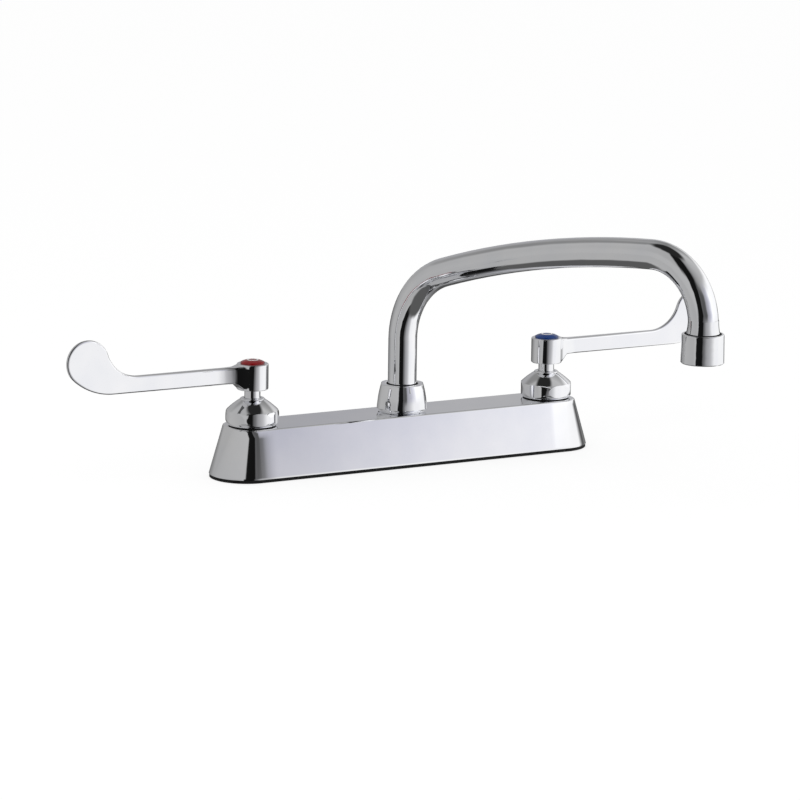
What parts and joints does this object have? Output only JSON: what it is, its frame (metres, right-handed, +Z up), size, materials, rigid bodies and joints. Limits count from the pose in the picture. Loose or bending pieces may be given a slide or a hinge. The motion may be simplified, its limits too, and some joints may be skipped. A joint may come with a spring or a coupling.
{
  "type": "deck faucet",
  "caption": "Deck-mounted faucet: a long tapered body, two quarter-turn valves with wrist-blade handles and a swinging arc spout with an aerator.",
  "frame": {"origin": "middle of the deck face, the underside of the gasket, on the spout's axis", "axes": "+X along the body from the hot valve to the cold valve, -Y towards the user, +Z up along the spout's riser"},
  "size_m": [0.4446, 0.2509, 0.1584],
  "materials": {
    "polished_chrome": "polished plate on cast brass or tube",
    "bare_brass": "machined",
    "stainless_steel": "plain",
    "black_rubber": "matt",
    "white_ceramic": "lapped",
    "white_nylon": "plain",
    "grey_plastic": "moulded",
    "red_plastic": "moulded",
    "blue_plastic": "moulded"
  },
  "bodies": {
    "body": {"faucet_body": "polished_chrome", "base_gasket": "black_rubber", "spout_nut": "polished_chrome", "shank_washer": "white_nylon", "hot_seat_seal": "black_rubber", "hot_fixed_disc": "white_ceramic", "hot_cartridge_housing": "bare_brass", "hot_cartridge_ring": "black_rubber", "hot_bonnet_washer": "black_rubber", "hot_bonnet": "polished_chrome", "cold_seat_seal": "black_rubber", "cold_fixed_disc": "white_ceramic", "cold_cartridge_housing": "bare_brass", "cold_cartridge_ring": "black_rubber", "cold_bonnet_washer": "black_rubber", "cold_bonnet": "polished_chrome"},
    "hot_handle": {"hot_lever": "polished_chrome", "hot_lever_screw": "stainless_steel", "hot_index_button": "red_plastic", "hot_stem": "polished_chrome", "hot_stem_ring": "black_rubber", "hot_moving_disc": "white_ceramic"},
    "cold_handle": {"cold_lever": "polished_chrome", "cold_lever_screw": "stainless_steel", "cold_index_button": "blue_plastic", "cold_stem": "polished_chrome", "cold_stem_ring": "black_rubber", "cold_moving_disc": "white_ceramic"},
    "spout": {"spout_shank": "bare_brass", "lower_shank_ring": "black_rubber", "upper_shank_ring": "black_rubber", "spout_tube": "polished_chrome", "outlet_adaptor": "polished_chrome", "aerator_shell": "polished_chrome", "aerator_washer": "black_rubber", "aerator_insert": "grey_plastic"}
  },
  "joints": [
    {"name": "spout_swing", "type": "hinge", "parent": "body", "child": "spout", "pos_m": [0, 0, 0.04], "axis": [0, 0, 1], "continuous": true},
    {"name": "hot_turn", "type": "hinge", "parent": "body", "child": "hot_handle", "pos_m": [-0.1016, 0, 0.05], "axis": [0, 0, 1], "range_deg": [0, 90]},
    {"name": "cold_turn", "type": "hinge", "parent": "body", "child": "cold_handle", "pos_m": [0.1016, 0, 0.05], "axis": [0, 0, 1], "range_deg": [-90, 0]}
  ]
}
